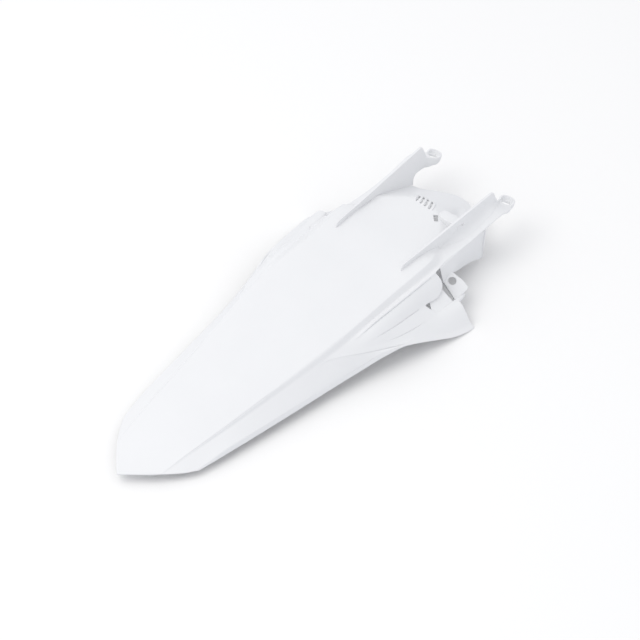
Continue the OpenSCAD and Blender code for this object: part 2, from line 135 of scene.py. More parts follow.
# Beside the rib: heights at the deck's end and at the arm's start, and the flange's sag.
SHOULDER_TOP = 60.9
SHOULDER_BEND = 0.25
SHOULDER_FOOT = 56
FLANGE_HEIGHT = 52
FLANGE_SAG_PLACE = 0.55
FLANGE_SAG = 0.4

# The rib rises from the deck at this station, and both ribs spread apart towards their tips.
RIB_START = 83
RIB_START_WIDTH = 52.6
RIB_SPREAD = 0.0327
INSIDE_RIB = 0.5
OUTSIDE_RIB = 0.6

# Rows: shares from the tail's outline to the join, stations of the body, then shares again.
TAIL_ROWS = [0, 0.035, 0.09, 0.17, 0.27, 0.38, 0.5, 0.62, 0.74, 0.87, 1]
TAIL_JOIN = -150
START_RANGE = (-337, -250)
START_HALVINGS = 14
BODY_ROWS = [-134, -118, -102, -88, -76, -66, -56, -45, -34, -23, -12, -2, 8, 17, 26, 35, 44, 53,
             62, 71, 80, 88, 95, 102, 109, 117]
BLEND_ROWS = [0.2, 0.4, 0.6, 0.8, 1]
APRON_ROWS = [0.05, 0.1, 0.16, 0.23, 0.31, 0.39, 0.47, 0.55, 0.63, 0.71, 0.79, 0.86, 0.93, 1]
FIRST_BODY = len(TAIL_ROWS)
LAST_BODY = FIRST_BODY + len(BODY_ROWS) - 1
LAST_BLEND = LAST_BODY + len(BLEND_ROWS)
LAST_ROW = LAST_BLEND + len(APRON_ROWS)

# Columns: the deck up to the rib, then the folds of the side one after the other.
FIN = 6
RIM = FIN + 2
FOOT = FIN + 3
SHELF = FIN + 4
POD = FIN + 8
WING = FIN + 9
FOLD = FIN + 11
LIP = FIN + 12
EDGE = FIN + 13
COLUMNS = 2 * EDGE + 1


def chord(t, i, c):
    """Slope of a table between two of its points."""
    return (t[i + 1][c] - t[i][c]) / (t[i + 1][0] - t[i][0])


def lean(t, i, c):
    """Slope of the smooth curve at a point of a table."""
    if i == 0:
        return chord(t, 0, c)
    if i == len(t) - 1:
        return chord(t, i - 1, c)
    return (chord(t, i - 1, c) + chord(t, i, c)) / 2


def curve(x, t, c=1):
    """Smooth curve through the points of a table."""
    i = 0
    while i < len(t) - 2 and x >= t[i + 1][0]:
        i += 1
    d = t[i + 1][0] - t[i][0]
    s = (x - t[i][0]) / d
    if s < 0:
        return t[0][c] + chord(t, 0, c) * (x - t[0][0])
    if s > 1:
        return t[-1][c]
    return ((1 + 2 * s) * (1 - s) ** 2 * t[i][c] + s * (1 - s) ** 2 * d * lean(t, i, c)
            + s * s * (3 - 2 * s) * t[i + 1][c] - s * s * (1 - s) * d * lean(t, i + 1, c))


def two(x, t):
    """Distance from the middle and height on a curve."""
    return np.array([curve(x, t, 1), curve(x, t, 2)])


def mix(a, b, s):
    """Value at a share of the way from a to b."""
    return a + (b - a) * s


def ease(x, a, b):
    """Soft change from 0 to 1 while x runs from a to b."""
    s = max(0.0, min(1.0, (x - a) / (b - a)))
    return s * s * (3 - 2 * s)


def unit(v):
    """A vector's direction."""
    return v / max(TINY, float(np.linalg.norm(v)))


def rib_middle(x):
    """Distance of the rib's middle plane from the fender's middle."""
    return RIB_START_WIDTH + RIB_SPREAD * (x - RIB_START)


def deck_side(x):
    """Where the deck's own columns end, just inside the middle of the rib."""
    return rib_middle(x) - INSIDE_RIB


def crown(x):
    """How far the deck is domed over its rims."""
    return mix(TAIL_CROWN, FRONT_CROWN, ease(x, *CROWN_CHANGE))


def rim_point(x):
    """Rim of the deck."""
    return two(x, DECK_RIM)


def foot_point(x):
    """Foot of the step beside the deck's rim."""
    h = STEP_HEIGHT * curve(x, STEP_RISE)
    return rim_point(x) + LEAST_STEP + h * np.array([STEP_LEAN, -1])


def edge_point(x):
    """Lower edge of the skirt and the wing flap."""
    return two(x, BOTTOM_EDGE)


def lip_point(x):
    """Upper line of the lip, high along the skirt and low along the wing flap."""
    e = edge_point(x)
    h = LIP_HEIGHT * mix(LIP_TAIL_SHARE, 1, ease(x, *LIP_TAIL_CHANGE))
    h *= mix(1, LIP_FRONT_SHARE, ease(x, *LIP_FRONT_CHANGE))
    return mix(e + h * np.array([-LIP_LEAN, 1]), e + FLAP_LIP, ease(x, *FLAP_CHANGE))


def fold_point(x):
    """Lower fold of the side: near the lip at the tail, then up over the skirt, then the flap's."""
    first, last = REAR_FOLD[0][0], REAR_FOLD[-1][0]
    foot = foot_point(x)
    lip = lip_point(x)
    if x < first:
        rise = ease(x, FOLD_RISE_START, first)
        return mix(foot, lip, mix(FOLD_TAIL_SHARE, FOLD_SKIRT_SHARE, rise))
    if x < last:
        skirt = mix(foot, lip, FOLD_SKIRT_SHARE)
        return mix(two(x, REAR_FOLD), skirt, 1 - ease(x, first, REAR_FOLD_FULL))
    return mix(two(last, REAR_FOLD), edge_point(x) + FLAP_FOLD, ease(x, last, FLAP_FOLD_FULL))


def side_point(x, j):
    """Columns from the shelf to the wing flap: a plain skirt behind, pods and flaps in front."""
    skirt = mix(foot_point(x), fold_point(x), SIDE_SHARES[j - SHELF])
    front = ease(x, *SIDE_CHANGE)
    shelf = two(x, SHELF_RIM)
    pod = two(x, POD_FOLD)
    targets = [shelf, shelf + (SHELF_STEP[0], -SHELF_STEP[1] * front)]
    targets += [mix(shelf, pod, share) + (out, up) for share, out, up in POD_ARCH]
    targets += [pod, two(x, WING_FOLD), two(x, WING_MIDDLE)]
    return mix(skirt, targets[j - SHELF], front)


def deck_width(x):
    """Half width of the deck's own columns: a share of the rim behind, up to the rib in front."""
    return mix(FLAT_DECK_SHARE * curve(x, DECK_RIM), deck_side(x), ease(x, *DECK_CHANGE))


def deck_height(x, w):
    """Height of the domed deck at a distance from the middle."""
    r = rim_point(min(x, DECK_END))
    s = w / r[0]
    return r[1] + crown(x) * (1 - s * s)


def body_point(x, j):
    """Point of the sheet behind the arms, as distance from the middle and height."""
    if j <= FIN:
        w = deck_width(x) * j / FIN
        return np.array([w, deck_height(x, w)])
    if j == FIN + 1:
        w = (deck_width(x) + curve(x, DECK_RIM)) / 2
        return np.array([w, deck_height(x, w)])
    if j == RIM:
        return rim_point(x)
    if j == FOOT:
        return foot_point(x)
    if j < FOLD:
        return side_point(x, j)
    if j == FOLD:
        return fold_point(x)
    if j == LIP:
        return lip_point(x)
    return edge_point(x)


def start(j):
    """Station on the tail outline where a column starts."""
    a, b = START_RANGE
    for _ in range(START_HALVINGS):
        m = (a + b) / 2
        if body_point(m, j)[0] > curve(m, TAIL_OUTLINE):
            a = m
        else:
            b = m
    return (a + b) / 2


STARTS = [TAIL_OUTLINE[0][0]] + [start(j) for j in range(1, EDGE + 1)]


def front_of(j):
    """Station where a column of the body ends."""
    if j < SHELF:
        return DECK_END
    return POD_FRONT[j - SHELF] if j <= POD else WING_FRONT[j - WING]


def body_x(x, j):
    """Stations past the stretch's start are spread so that each column ends where it should."""
    if x <= STRETCH_START:
        return x
    length = DECK_END - STRETCH_START
    return STRETCH_START + (x - STRETCH_START) * (front_of(j) - STRETCH_START) / length


def apron_width(j):
    """Distance of a column from the middle between the arms."""
    return deck_side(PLATEAU_SIDE) * j / FIN


def apron_fall(s):
    """Share of the apron's drop at a share of its length. It turns down softly at first."""
    d = APRON_TURN
    fall = s * s / (2 * d) if s < d else s - d / 2
    return fall / (1 - d / 2)


def plateau_point(s, j):
    """Between the arms, from the end of the deck to the plateau's front edge."""
    x = mix(DECK_END, curve(apron_width(j), PLATEAU_EDGE), s)
    w = mix(deck_width(DECK_END), deck_side(PLATEAU_SIDE), s) * j / FIN
    z = deck_height(DECK_END, deck_width(DECK_END) * j / FIN)
    return [x, deck_side(x) if j == FIN else w, mix(z, PLATEAU_HEIGHT, s * s)]


def apron_point(s, j):
    """Between the arms, from the plateau's front edge down to the apron's rim."""
    w = apron_width(j)
    rim = two(w, APRON_RIM)
    x = mix(curve(w, PLATEAU_EDGE), rim[0], s)
    return [x, deck_side(x) if j == FIN else w, mix(PLATEAU_HEIGHT, rim[1], apron_fall(s))]


def shoulder_point(s, j):
    """Outside the arms, where the deck's rim and its step run into the flange."""
    x = mix(DECK_END, ARM_START, s)
    rim = rim_point(x)
    if j == FIN + 1:
        w = (deck_side(x) + rim[0]) / 2
        top = mix(SHOULDER_TOP, rim[1], SHOULDER_BEND)
        return [x, mix(w, rib_middle(x), s), mix(top, SHOULDER_FOOT, s)]
    if j == RIM:
        return [x, max(rim[0], rib_middle(x) + OUTSIDE_RIB), rim[1]]
    return [x, *two(x, STEP_FOOT if j == FOOT else FLANGE_OUTER)]


def flange_point(s, j):
    """Outside the arms, the flange from the rib to its outer edge."""
    x = mix(ARM_START, ARM_END, s)
    if j == FIN + 1:
        # This column has no cells here. It only steers the inner side next to it.
        return [x, rib_middle(x), FLANGE_HEIGHT]
    inner = np.array([rib_middle(x) + OUTSIDE_RIB, curve(x, FLANGE_ROOT)])
    outer = two(x, FLANGE_OUTER)
    if j == RIM:
        return [x, *inner]
    if j == FOOT:
        w, z = mix(inner, outer, FLANGE_SAG_PLACE)
        return [x, w, z - FLANGE_SAG]
    return [x, *outer]


def skin_point(k, j):
    """Point of the sheet's outer side at a row and a column."""
    if k < FIRST_BODY:
        x = mix(STARTS[j], TAIL_JOIN, TAIL_ROWS[k])
        return [x, *body_point(x, j)]
    if k <= LAST_BODY:
        x = body_x(BODY_ROWS[k - FIRST_BODY], j)
        return [x, *body_point(x, j)]
    if j > SHELF:
        return skin_point(LAST_BODY, j)
    if k <= LAST_BLEND:
        s = BLEND_ROWS[k - LAST_BODY - 1]
        return plateau_point(s, j) if j <= FIN else shoulder_point(s, j)
    s = APRON_ROWS[k - LAST_BLEND - 1]
    return apron_point(s, j) if j <= FIN else flange_point(s, j)


HALF = np.array([[skin_point(k, j) for j in range(EDGE + 1)] for k in range(LAST_ROW + 1)])


SQUARE_REACH = 5.0
LEAST_LEVEL_SHARE = 0.3


def inner_row(k):
    """Inner side of the sheet, measured square to the outer side over a few millimetres of it."""
    n = EDGE if k <= LAST_BODY else SHELF
    row = HALF[k]
    length = np.zeros(n + 1)
    for j in range(1, n + 1):
        length[j] = length[j - 1] + np.linalg.norm(row[j, 1:] - row[j - 1, 1:]) + TINY
    result = row.copy()
    for j in range(n + 1):
        across = np.array([0.0, 1.0, 0.0])
        if j:
            a = max(0.0, length[j] - SQUARE_REACH)
            b = min(length[n], length[j] + SQUARE_REACH)
            across = np.array([np.interp(b, length, row[:n + 1, c])
                               - np.interp(a, length, row[:n + 1, c]) for c in range(3)])
        last = LAST_ROW if j <= SHELF else LAST_BODY
        along = HALF[min(k + 1, last), j] - HALF[max(k - 1, 0), j]
        m = unit(np.cross(unit(along), unit(across)))
        if j == 0:
            m = unit(np.array([m[0], 0.0, m[2]]))
        if j == EDGE:
            # The edge is cut level, so its inner point lies a little further in.
            m = np.array([m[0], m[1], 0.0]) / max(LEAST_LEVEL_SHARE, 1 - m[2] * m[2])
        result[j] = row[j] - WALL * m
    return result


HALF_INNER = np.array([inner_row(k) for k in range(LAST_ROW + 1)])


def present(k, j):
    """Whether the sheet has a cell between two rows and two columns of its half."""
    if k < 0 or k >= LAST_ROW or j < 0 or j >= EDGE:
        return False
    if k < LAST_BODY:
        return j != POD or HALF[k + 1, j, 0] < POD_GAP_START
    if k < LAST_BLEND:
        return j < SHELF
    return j < FIN or RIM <= j < SHELF


def cell(k, c):
    """The same for a column of the whole sheet."""
    return present(k, EDGE - 1 - c if c < EDGE else c - EDGE)


def link_object(name, data):
    """A new object of the scene for a mesh, a light or a camera."""
    obj = bpy.data.objects.new(name, data)
    bpy.context.scene.collection.objects.link(obj)
    return obj


def bake_modifiers(obj):
    """The object's mesh becomes what its modifiers make of it."""
    graph = bpy.context.evaluated_depsgraph_get()
    graph.update()
    mesh = bpy.data.meshes.new_from_object(obj.evaluated_get(graph))
    old = obj.data
    obj.modifiers.clear()
    obj.data = mesh
    bpy.data.meshes.remove(old)
    return obj


SMOOTH_LEVELS = 2
SHARPEST = 10


def subdivide(obj):
    """The smooth surface of a cage."""
    sub = obj.modifiers.new("smooth", "SUBSURF")
    sub.levels = SMOOTH_LEVELS
    sub.render_levels = SMOOTH_LEVELS
    sub.boundary_smooth = "ALL"
    return bake_modifiers(obj)


def crease(sharpness):
    """Crease value for a sharpness in steps of the subdivision."""
    return math.sqrt(sharpness / SHARPEST)


RIM_SHARPNESS = 1.6
FLAP_CORNER_SHARPNESS = 0.5
INNER_SHARE = 0.7
STEADY_FOLDS = {RIM: 1.7, LIP: 1.6}

# Sharpness behind and in front, and the stations between which it changes.
CHANGING_FOLDS = {FOOT: (1.5, 1.0, -240, -120), SHELF: (0, 1.6, -30, 5), SHELF + 1: (0, 1.6, -30, 5),
                  POD: (0, 1.6, -35, 0), WING: (0, 1.6, -20, 15), FOLD: (0, 1.7, -85, -60)}


def fold_sharpness(k, j):
    """How crisp each fold of the sheet is along its length."""
    if j not in CHANGING_FOLDS:
        return STEADY_FOLDS.get(j, 0.0)
    behind, ahead, first, last = CHANGING_FOLDS[j]
    return mix(behind, ahead, ease(HALF[k, j, 0], first, last))


def edge_sharpness(one, other, on_rim):
    """Sharpness of a cage edge between two points, each given as side, row and column."""
    side, k, c = one
    other_side, other_k, other_c = other
    k = min(k, other_k)
    if on_rim:
        corner = k >= LAST_BODY - 1 and min(abs(c - EDGE), abs(other_c - EDGE)) >= LIP
        return FLAP_CORNER_SHARPNESS if corner else RIM_SHARPNESS
    if side != other_side or c != other_c:
        return 0.0
    return fold_sharpness(k, abs(c - EDGE)) * (INNER_SHARE if side == "in" else 1)


HOLLOW_PLACE = (213, -31)
HOLLOW_REACH = (17, 15)
HOLLOW_DEPTH = 10.0


def dip(x, y):
    """Depth of the hollow in the apron beside the right arm."""
    d = math.hypot((x - HOLLOW_PLACE[0]) / HOLLOW_REACH[0], (y - HOLLOW_PLACE[1]) / HOLLOW_REACH[1])
    return HOLLOW_DEPTH * (1 - ease(d, 0.0, 1.0))


def cage_points():
    """Points of both sides of the sheet, and the number of each by side, row and column."""
    points = []
    ids = {}
    for side, half in (("out", HALF), ("in", HALF_INNER)):
        for k in range(LAST_ROW + 1):
            for c in range(COLUMNS):
                x, y, z = half[k, abs(c - EDGE)]
                y = -y if c < EDGE else y
                if k > LAST_BLEND and abs(c - EDGE) <= FIN:
                    z -= dip(x, y)
                ids[side, k, c] = len(points)
                points.append([x, y, z])
    return points, ids


def cage_faces(ids):
    """Faces of both sides of the sheet and of its rims, and the edges along the rims."""
    faces = []
    rims = set()

    def rim_face(k1, c1, k2, c2):
        """Face across the sheet's thickness, between two points of its rim."""
        a, b = ids["out", k1, c1], ids["out", k2, c2]
        d, e = ids["in", k2, c2], ids["in", k1, c1]
        faces.append([a, b, d, e])
        rims.add(frozenset((a, b)))
        rims.add(frozenset((d, e)))

    for k in range(LAST_ROW):
        for c in range(COLUMNS - 1):
            if not cell(k, c):
                continue
            corners = ((k, c), (k + 1, c), (k + 1, c + 1), (k, c + 1))
            faces.append([ids[("out", *p)] for p in corners])
            faces.append([ids[("in", *p)] for p in (corners[0], *corners[:0:-1])])
            if not cell(k - 1, c):
                rim_face(k, c, k, c + 1)
            if not cell(k + 1, c):
                rim_face(k + 1, c + 1, k + 1, c)
            if not cell(k, c - 1):
                rim_face(k + 1, c, k, c)
            if not cell(k, c + 1):
                rim_face(k, c + 1, k + 1, c + 1)
    return faces, rims


def make_skin():
    """The sheet as a closed cage, then subdivided with crisp folds and softly broken rims."""
    points, ids = cage_points()
    faces, rims = cage_faces(ids)
    used = sorted({v for f in faces for v in f})
    place = {v: n for n, v in enumerate(used)}
    mesh = bpy.data.meshes.new("skin")
    mesh.from_pydata([tuple((np.array(points[v]) + TO_ROW) * MM) for v in used], [],
                     [[place[v] for v in f] for f in faces])
    mesh.update()
    keys = {place[v]: key for key, v in ids.items() if v in place}
    rims = {frozenset(place[v] for v in pair) for pair in rims}
    values = []
    for e in mesh.edges:
        a, b = e.vertices
        values.append(crease(edge_sharpness(keys[a], keys[b], frozenset((a, b)) in rims)))
    mesh.attributes.new("crease_edge", "FLOAT", "EDGE").data.foreach_set("value", values)
    return subdivide(link_object("skin", mesh))


def closed_mesh(name, verts, faces):
    """A closed mesh whose faces all look outwards."""
    mesh = bpy.data.meshes.new(name)
    mesh.from_pydata([tuple(v) for v in verts], [], faces)
    bm = bmesh.new()
    bm.from_mesh(mesh)
    bmesh.ops.recalc_face_normals(bm, faces=bm.faces)
    bm.to_mesh(mesh)
    bm.free()
    return mesh


BEVEL_ANGLE = 40


def break_edges(obj, width, segments=2):
    """Bevels the sharp edges of a solid, where a width is given."""
    if not width:
        return obj
    m = obj.modifiers.new("bevel", "BEVEL")
    m.width = width
    m.segments = segments
    m.limit_method = "ANGLE"
    m.angle_limit = math.radians(BEVEL_ANGLE)
    return bake_modifiers(obj)


def solid(name, verts, faces, bevel=0.0):
    """A closed solid of the scene, with its edges broken where a bevel is given."""
    return break_edges(link_object(name, closed_mesh(name, verts, faces)), bevel)


def loft(name, rings, bevel=0.0):
    """A solid through rings of equally many points, closed at both ends."""
    n = len(rings[0])
    last = (len(rings) - 1) * n
    faces = [list(range(n)), list(range(last, last + n))[::-1]]
    for o in range(0, last, n):
        for q in range(n):
            r = (q + 1) % n
            faces.append([o + q, o + r, o + n + r, o + n + q])
    return solid(name, [p for ring in rings for p in ring], faces, bevel)


LONGEST_CUT = 0.45
SHORTEST_CUT = 0.05


def rounded(points, radius, steps=4):
    """A closed outline with its corners turned into short arcs. radius may be one value each."""
    n = len(points)
    radii = radius if isinstance(radius, (list, tuple)) else [radius] * n
    result = []
    for i in range(n):
        p = np.array(points[i], float)
        a = np.array(points[i - 1], float) - p
        b = np.array(points[(i + 1) % n], float) - p
        la, lb = np.linalg.norm(a), np.linalg.norm(b)
        cut = min(radii[i], LONGEST_CUT * la, LONGEST_CUT * lb)
        if cut < SHORTEST_CUT:
            result.append(p)
            continue
        first, last = p + a / la * cut, p + b / lb * cut
        for s in np.linspace(0, 1, steps + 1):
            result.append((1 - s) ** 2 * first + 2 * s * (1 - s) * p + s * s * last)
    return result


def plate(name, outline, low, high, matrix=None, bevel=0.6, segments=2):
    """A flat plate with broken edges, drawn in its own plane and then put in place."""
    bm = bmesh.new()
    loop = [bm.verts.new((p[0], p[1], low)) for p in outline]
    if sum(outline[i - 1][0] * outline[i][1] - outline[i][0] * outline[i - 1][1]
           for i in range(len(outline))) < 0:
        loop.reverse()
    base = bm.faces.new(loop)
    base.normal_flip()
    top = bmesh.ops.extrude_face_region(bm, geom=[base])
    moved = [v for v in top["geom"] if isinstance(v, bmesh.types.BMVert)]
    bmesh.ops.translate(bm, verts=moved, vec=(0, 0, high - low))
    bmesh.ops.recalc_face_normals(bm, faces=bm.faces)
    mesh = bpy.data.meshes.new(name)
    bm.to_mesh(mesh)
    bm.free()
    obj = break_edges(link_object(name, mesh), bevel, segments)
    if matrix is not None:
        obj.data.transform(matrix)
    return obj


def tube(name, profile, matrix=None, steps=64):
    """A turned solid about Z. The profile lists (radius, height), from the axis or as a ring."""
    closed = profile[0][0] > 0
    verts = []
    faces = []
    rings = []
    for r, z in profile:
        if r == 0:
            rings.append([len(verts)])
            verts.append((0, 0, z))
            continue
        rings.append(list(range(len(verts), len(verts) + steps)))
        for i in range(steps):
            a = 2 * math.pi * i / steps
            verts.append((r * math.cos(a), r * math.sin(a), z))
    for a, b in zip(rings, rings[1:] + ([rings[0]] if closed else [])):
        for i in range(steps):
            j = (i + 1) % steps
            if len(a) == 1:
                faces.append([a[0], b[j], b[i]])
            elif len(b) == 1:
                faces.append([a[i], a[j], b[0]])
            else:
                faces.append([a[i], a[j], b[j], b[i]])
    obj = solid(name, verts, faces)
    if matrix is not None:
        obj.data.transform(matrix)
    return obj


THROUGH = 20


def rod(name, radius, low, high, matrix=None):
    """A plain round cutter about Z."""
    return tube(name, [(0, low), (radius, low), (radius, high), (0, high)], matrix)


def join_shape(obj, other, how="UNION"):
    """Adds or cuts another closed solid, which is then gone."""
    m = obj.modifiers.new("join", "BOOLEAN")
    m.operation = how
    m.solver = "MANIFOLD"
    m.object = other
    bake_modifiers(obj)
    bpy.data.objects.remove(other)
    return obj


def local_frame(x, y, z, *turns):
    """Where a small piece sits: its point in millimetres, then turns in degrees about axes."""
    m = Matrix.Translation(Vector((x, y, z)))
    for axis, angle in turns:
        m = m @ Matrix.Rotation(math.radians(angle), 4, axis)
    return m


def mirrored(obj):
    """The same piece on the other side of the middle."""
    copy = link_object(obj.name + "_other", obj.data.copy())
    copy.data.transform(Matrix.Scale(-1, 4, Vector((0, 1, 0))))
    copy.data.flip_normals()
    return copy


def apply_piece(body, piece, how="UNION"):
    """Joins a piece that is drawn in millimetres to the moulding, or cuts it out."""
    piece.data.transform(Matrix.Scale(MM, 4) @ Matrix.Translation(Vector(TO_ROW)))
    join_shape(body, piece, how)


def apply_both(body, piece, how="UNION"):
    """The same on both sides of the middle."""
    other = mirrored(piece)
    apply_piece(body, piece, how)
    apply_piece(body, other, how)


# Fine lines along the folds: column, first and last station, half size of the cutter.
SEAMS = [(RIM, -300, -110, 1.1), (SHELF + 1, -24, 112, 0.8), (POD, -14, 80, 1.0),
         (WING, 2, 75, 1.0), (FOLD, -77, 36, 0.9), (LIP, -258, 20, 0.7)]
SEAM_FACING = np.array([0, 0.3, 1])
SEAM_END_SHARE = 0.15
SEAM_FADE = (3, 2)


def seam(column, first, last, size):
    """Cutter for the fine line along a fold of the sheet, fading out at both ends."""
    line = [p for p in HALF[:LAST_BODY + 1, column] if first <= p[0] <= last]
    n = len(line)
    rings = []
    for i, p in enumerate(line):
        along = unit(line[min(i + 1, n - 1)] - line[max(i - 1, 0)])
        side = unit(np.cross(along, SEAM_FACING))
        up = np.cross(side, along)
        fade = ease(i, 0, SEAM_FADE[0]) * ease(n - 1 - i, 0, SEAM_FADE[1])
        r = size * mix(SEAM_END_SHARE, 1, fade)
        rings.append([p + r * side, p + r * up, p - r * side, p - r * up])
    return loft("seam", rings)


RIB_OUTLINE = [[83, 57.3], [83.4, 63], [87, 67.3], [160, 74], [239, 81], [243, 79.4],
               [250.5, 61], [252, 57.5], [252, 42.4], [247, 41.9], [234, 43.6], [229.5, 41.6],
               [227.4, 37], [227, 27.6], [205, 35.8], [185, 43.6], [166, 48.6], [148, 49.2],
               [146.5, 57.6]]
RIB_ROUNDING = [0, 3, 4, 30, 4, 3, 4, 1, 0, 3, 6, 4, 5, 0, 8, 8, 8, 2, 2]
RIB_THICKNESS = 3.2
RIB_BEVEL = 0.7
RIB_TAPER_LENGTH = 45
RIB_TAPER = 0.45


def make_rib():
    """Upright rib of the arm, thinner at the end where it rises from the deck."""
    outline = rounded([(p[0] - RIB_START, p[1]) for p in RIB_OUTLINE], RIB_ROUNDING)
    half = RIB_THICKNESS / 2
    obj = plate("rib", outline, -half, half, bevel=RIB_BEVEL, segments=3)
    for v in obj.data.vertices:
        v.co.z *= mix(RIB_TAPER, 1, ease(v.co.x, 0, RIB_TAPER_LENGTH))
    spread = math.degrees(math.atan(RIB_SPREAD))
    obj.data.transform(local_frame(RIB_START, RIB_START_WIDTH, 0, ("Z", spread), ("X", 90)))
    return obj


FILLET_SIZE = 10
FILLET_FULL = (185, 228)
FILLET_END = 251
FILLET_END_SHARES = (0.2, 0.3)
FILLET_DEPTH = 1.4
FILLET_INSET = 0.05
FILLET_SINK = 0.9
FILLET_SECTIONS = 22
FILLET_STEPS = 8


def make_fillet():
    """Soft inside curve between the rib and the flange of the arm."""
    rings = []
    full, fading = FILLET_FULL
    for x in np.linspace(ARM_START, FILLET_END, FILLET_SECTIONS):
        size = FILLET_SIZE * mix(FILLET_END_SHARES[0], 1, ease(x, ARM_START, full))
        size *= mix(1, FILLET_END_SHARES[1], ease(x, fading, FILLET_END))
        meeting = np.array([rib_middle(x), curve(x, FLANGE_ROOT)])
        root = meeting + np.array([RIB_THICKNESS / 2 - FILLET_INSET, -FILLET_INSET])
        slope = unit(two(x, FLANGE_OUTER) - root)
        top = root + np.array([0, size])
        end = root + slope * size
        ring = [(1 - t) ** 2 * top + 2 * t * (1 - t) * root + t * t * end
                for t in np.linspace(0, 1, FILLET_STEPS + 1)]
        ring += [end + (0, -FILLET_DEPTH), root + (-FILLET_SINK, -FILLET_DEPTH),
                 top + (-FILLET_SINK, 0)]
        rings.append([(x, *p) for p in ring])
    return loft("fillet", rings)


EYELET = (267.5, 59.8, 46.4)
EYELET_TILT = 24.8
EYELET_RADIUS = 9.5
EYELET_DEPTH = 3.6
EYELET_BORE = 11.5
EYELET_BORE_REACH = (-12, 8)
EYELET_BEVEL = 0.5
EYELET_TOP_BEVEL = 0.4
TONGUE_OUTLINE = [(-17, -3.4), (-9, -7), (-3, -9), (3, -8.4), (4, 8.4), (1, 9.9), (-12, 15.2),
                  (-20, 16.2)]
TONGUE_INSET = 0.2
TONGUE_BEVEL = 0.4

# The wall around the tip: its straight run along the rib, then its sweep around the ring. The
# root, the rise and the fall of its height are pairs of degrees around the ring.
TIP_WALL_RUN = [[-22.5, -1.8, -12, 3], [-17.5, -2.9, -12, 3], [-12, -5, -10.6, 2.2]]
TIP_WALL_HEIGHT = 5.0
TIP_WALL_THICKNESS = 2.4
TIP_WALL_BEVEL = 0.5
TIP_WALL_PROUD = 0.6
TIP_WALL_SWEEP = 120
TIP_WALL_STEP = 6
TIP_ROOT_DEPTH = 7.4
TIP_ROOT = (-122, -60)
TIP_RISE = (-125, -80)
TIP_RISE_SHARE = 0.3
TIP_FALL = (74, 116)
TIP_LEAST_SHARE = 0.06


def band(path, thickness, bevel=0.5):
    """Band of varying height along a path of points: x, y, bottom, top."""
    line = np.array([[p[0], p[1], 0.0] for p in path])
    n = len(path) - 1
    rings = []
    for i, (_, _, low, high) in enumerate(path):
        d = unit(line[min(i + 1, n)] - line[max(i - 1, 0)])
        across = thickness / 2 * np.array([-d[1], d[0], 0])
        rings.append([line[i] + side * across + np.array([0, 0, z])
                      for side, z in ((-1, low), (-1, high), (1, high), (1, low))])
    return loft("band", rings, bevel)


def eyelet_frame(side):
    """Where the left (1) or the right (-1) eyelet sits, with its bore along Z."""
    return local_frame(EYELET[0], side * EYELET[1], EYELET[2], ("Y", EYELET_TILT))


def make_eyelet():
    """Ring, its tongue in the flange, and the wall that carries the rib on around the tip."""
    bore, r, d = EYELET_BORE / 2, EYELET_RADIUS, EYELET_DEPTH
    e, u, inset = EYELET_BEVEL, EYELET_TOP_BEVEL, TONGUE_INSET
    ring = tube("eyelet", [(bore, -d + e), (bore + e, -d), (r - e, -d), (r, -d + e),
                           (r, -u), (r - u, 0), (bore + e, 0), (bore, -e)])
    tongue = plate("tongue", TONGUE_OUTLINE, -d + inset, -inset, bevel=TONGUE_BEVEL)
    join_shape(tongue, rod("cut", bore + inset, -THROUGH, THROUGH), "DIFFERENCE")
    middle = r + TIP_WALL_PROUD - TIP_WALL_THICKNESS / 2
    path = list(TIP_WALL_RUN)
    for a in range(-TIP_WALL_SWEEP, TIP_WALL_SWEEP + 1, TIP_WALL_STEP):
        low = -mix(d, TIP_ROOT_DEPTH, 1 - ease(a, *TIP_ROOT))
        rise = mix(TIP_RISE_SHARE, 1, ease(a, *TIP_RISE)) * (1 - ease(a, *TIP_FALL))
        x, y = middle * math.cos(math.radians(a)), middle * math.sin(math.radians(a))
        path.append([x, y, low, TIP_WALL_HEIGHT * mix(TIP_LEAST_SHARE, 1, rise)])
    join_shape(ring, tongue)
    join_shape(ring, band(path, TIP_WALL_THICKNESS, TIP_WALL_BEVEL))
    ring.data.transform(eyelet_frame(1))
    return ring


# Upper and lower line of the leg's middle, then how its front edge rolls outwards.
LEG_TOP = [[126, 76.5, 49.2], [134, 75, 49], [150, 74.2, 49.2], [170, 73.4, 49.4], [190, 72.4, 50],
           [202, 71.7, 51.2], [209, 71.2, 52.2]]
LEG_FOOT = [[130, 79.8, 21], [139, 78.7, 23.6], [148, 78, 26], [158, 75, 18], [170, 71.6, 12.5],
            [191, 70.2, 7], [203, 70, 1.6], [209, 70, -1]]
LEG_CURL = [[211.2, 0.9], [212.2, 2.2], [212.4, 3.8]]
LEG_CURL_TOP = 52.8
LEG_CURL_FOOT = 0.5
LEG_THICKNESS = 2.8
LEG_STEPS = 6
LEG_CORNER = 50


def crease_corners(mesh, angle):
    """Marks the edges of a cage that turn by more than an angle as softly broken ones."""
    bm = bmesh.new()
    bm.from_mesh(mesh)
    layer = bm.edges.layers.float.new("crease_edge")
    for e in bm.edges:
        if e.calc_face_angle(0) > math.radians(angle):
            e[layer] = crease(RIM_SHARPNESS)
    bm.to_mesh(mesh)
    bm.free()


def leg_line(line, curl_height):
    """One line of the leg with its rolled front edge."""
    return np.array(line + [[x, line[-1][1] + w, curl_height] for x, w in LEG_CURL])


